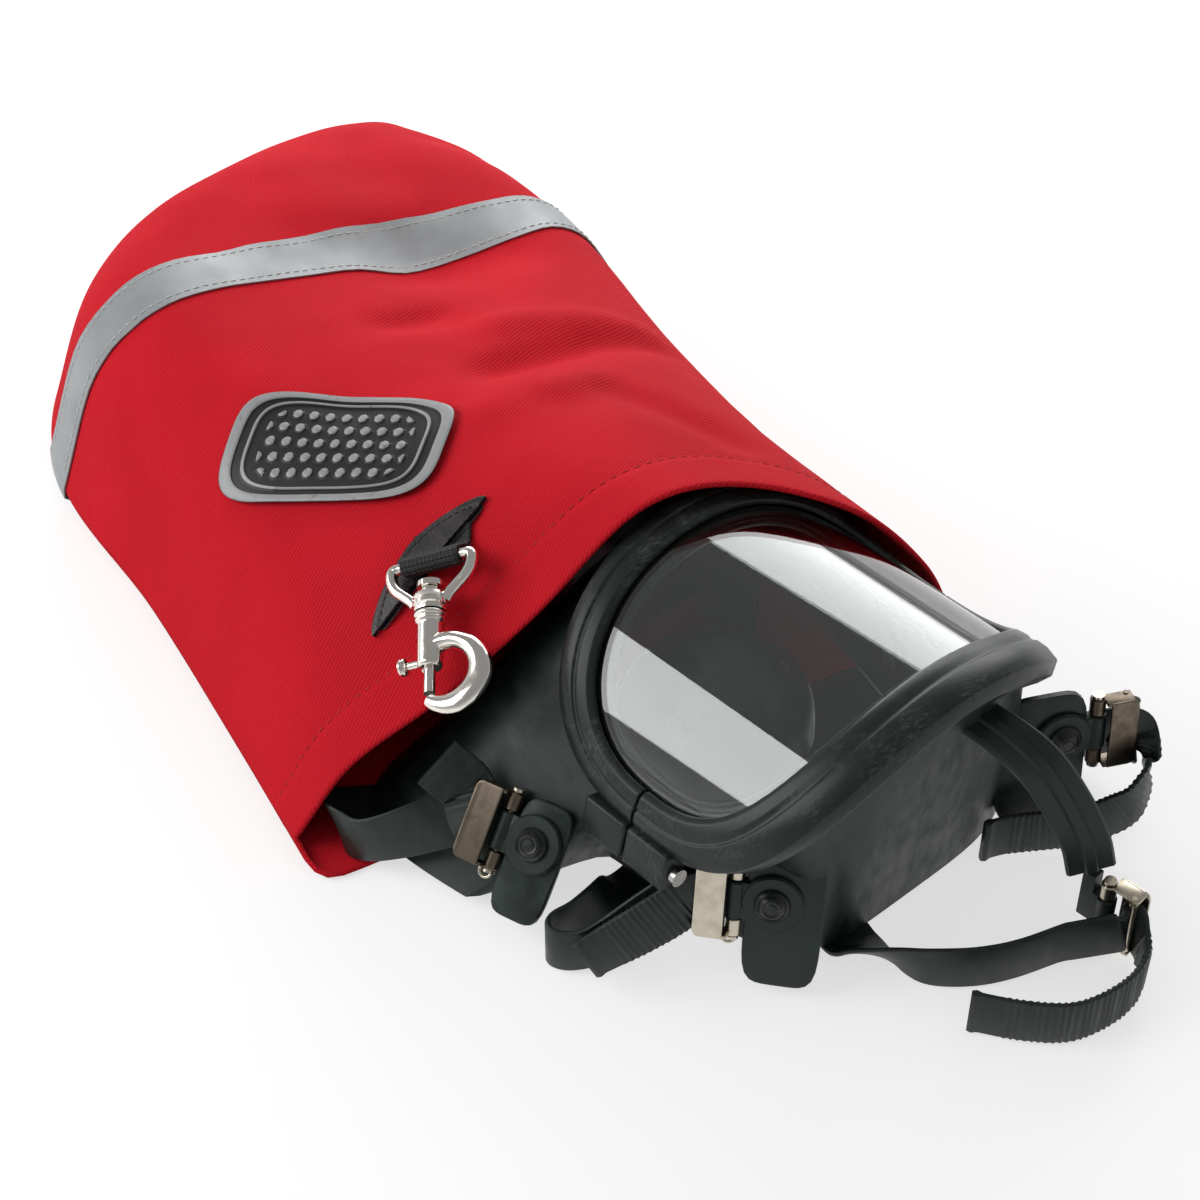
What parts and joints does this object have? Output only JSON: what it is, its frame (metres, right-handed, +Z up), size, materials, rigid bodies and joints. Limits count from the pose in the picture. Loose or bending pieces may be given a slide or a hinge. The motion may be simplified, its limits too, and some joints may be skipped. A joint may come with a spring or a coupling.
{
  "type": "full-face mask in a carry bag",
  "caption": "Full-face breathing mask with a wrap-round lens and buckled head straps, half drawn out of a red cloth carry bag with reflective tape and a swivel snap hook.",
  "frame": {"origin": "middle of the whole object's outline seen from above, on the surface it lies on", "axes": "+X out of the bag's mouth towards the mask's forehead, +Y towards the mask's far side, +Z up"},
  "size_m": [0.5516, 0.2808, 0.1163],
  "materials": {
    "red_canvas": "matt woven",
    "silver_tape": "retro-reflective satin",
    "black_leather": "satin, stitched",
    "black_webbing": "ribbed weave",
    "badge_rubber": "satin",
    "bright_nickel": "polished",
    "spring_steel": "bright",
    "clear_lens": "clear, lightly scratched",
    "black_rubber": "satin",
    "bezel_black": "satin, scuffed",
    "dark_metal": "dark, worn",
    "valve_rubber": "matt",
    "port_plastic": "satin",
    "ring_aluminium": "satin"
  },
  "bodies": {
    "bag": {"bag_shell": "red_canvas", "reflective_tape": "silver_tape", "badge_patch": "badge_rubber", "leather_tab": "black_leather", "webbing_loop": "black_webbing"},
    "snap_eye": {"snap_eye": "bright_nickel"},
    "hook": {"hook_body": "bright_nickel", "swivel_rivet": "bright_nickel", "bolt_spring": "spring_steel"},
    "bolt": {"hook_bolt": "bright_nickel", "bolt_knob": "bright_nickel"},
    "mask": {"lens": "clear_lens", "lens_gasket": "black_rubber", "bezel_upper": "bezel_black", "bezel_lower": "bezel_black", "bezel_screws": "dark_metal", "face_blank": "black_rubber", "forehead_tongue": "black_rubber", "near_temple_lug": "black_rubber", "far_temple_lug": "black_rubber", "near_jaw_lug": "black_rubber", "far_jaw_lug": "black_rubber", "lug_studs": "black_rubber", "buckle_pins": "dark_metal", "forehead_strap": "black_rubber", "near_temple_strap": "black_rubber", "far_temple_strap": "black_rubber", "near_jaw_strap": "black_rubber", "far_jaw_strap": "black_rubber", "forehead_tail": "black_rubber", "near_temple_tail": "black_rubber", "far_temple_tail": "black_rubber", "near_jaw_tail": "black_rubber", "far_jaw_tail": "black_rubber", "head_pad": "black_rubber", "nose_cup": "black_rubber", "nose_cup_valves": "valve_rubber", "inlet_port": "port_plastic", "port_ring": "ring_aluminium", "inlet_valve": "valve_rubber", "speech_diaphragm": "ring_aluminium", "exhale_seat": "port_plastic", "exhale_disc": "valve_rubber", "exhale_spring": "spring_steel", "exhale_cover": "port_plastic"},
    "forehead_lever": {"forehead_buckle": "bright_nickel", "forehead_roller": "bright_nickel"},
    "near_temple_lever": {"near_temple_buckle": "bright_nickel", "near_temple_roller": "bright_nickel"},
    "far_temple_lever": {"far_temple_buckle": "dark_metal", "far_temple_roller": "dark_metal"},
    "near_jaw_lever": {"near_jaw_buckle": "bright_nickel", "near_jaw_roller": "bright_nickel"},
    "far_jaw_lever": {"far_jaw_buckle": "bright_nickel", "far_jaw_roller": "bright_nickel"}
  },
  "joints": [
    {"name": "eye_hinge", "type": "hinge", "parent": "bag", "child": "snap_eye", "pos_m": [0.04772, -0.06361, 0.0858], "axis": [-0.5276, -0.7458, -0.4066], "range_deg": [0, 100]},
    {"name": "hook_swivel", "type": "hinge", "parent": "snap_eye", "child": "hook", "pos_m": [0.06216, -0.07126, 0.0811], "axis": [0.8492, -0.4502, -0.2762], "range_deg": [-10, 170]},
    {"name": "bolt_slide", "type": "slide", "parent": "hook", "child": "bolt", "axis": [-0.8492, 0.4502, 0.2762], "range_m": [0, 0.008], "stiffness_N_per_m": 300, "springref_m": -0.008, "deforming": ["bolt_spring"]},
    {"name": "mask_slide", "type": "slide", "parent": "bag", "child": "mask", "axis": [1, 0, 0], "range_m": [0, 0.16]},
    {"name": "forehead_lever_hinge", "type": "hinge", "parent": "mask", "child": "forehead_lever", "pos_m": [0.24422, 0.08879, 0.0165], "axis": [0, 0, 1], "range_deg": [0, 35]},
    {"name": "near_temple_lever_hinge", "type": "hinge", "parent": "mask", "child": "near_temple_lever", "pos_m": [0.19162, -0.02571, 0.035], "axis": [-0.2658, 0.2152, 0.9397], "range_deg": [0, 35]},
    {"name": "far_temple_lever_hinge", "type": "hinge", "parent": "mask", "child": "far_temple_lever", "pos_m": [0.19422, 0.11779, 0.044], "axis": [0.1344, -0.036, -0.9903], "range_deg": [0, 35]},
    {"name": "near_jaw_lever_hinge", "type": "hinge", "parent": "mask", "child": "near_jaw_lever", "pos_m": [0.12512, -0.07731, 0.03], "axis": [-0.341, 0.5906, 0.7314], "range_deg": [0, 35]},
    {"name": "far_jaw_lever_hinge", "type": "hinge", "parent": "mask", "child": "far_jaw_lever", "pos_m": [0.08622, 0.10009, 0.0208], "axis": [0.0055, 0.1044, -0.9945], "range_deg": [0, 25]}
  ]
}
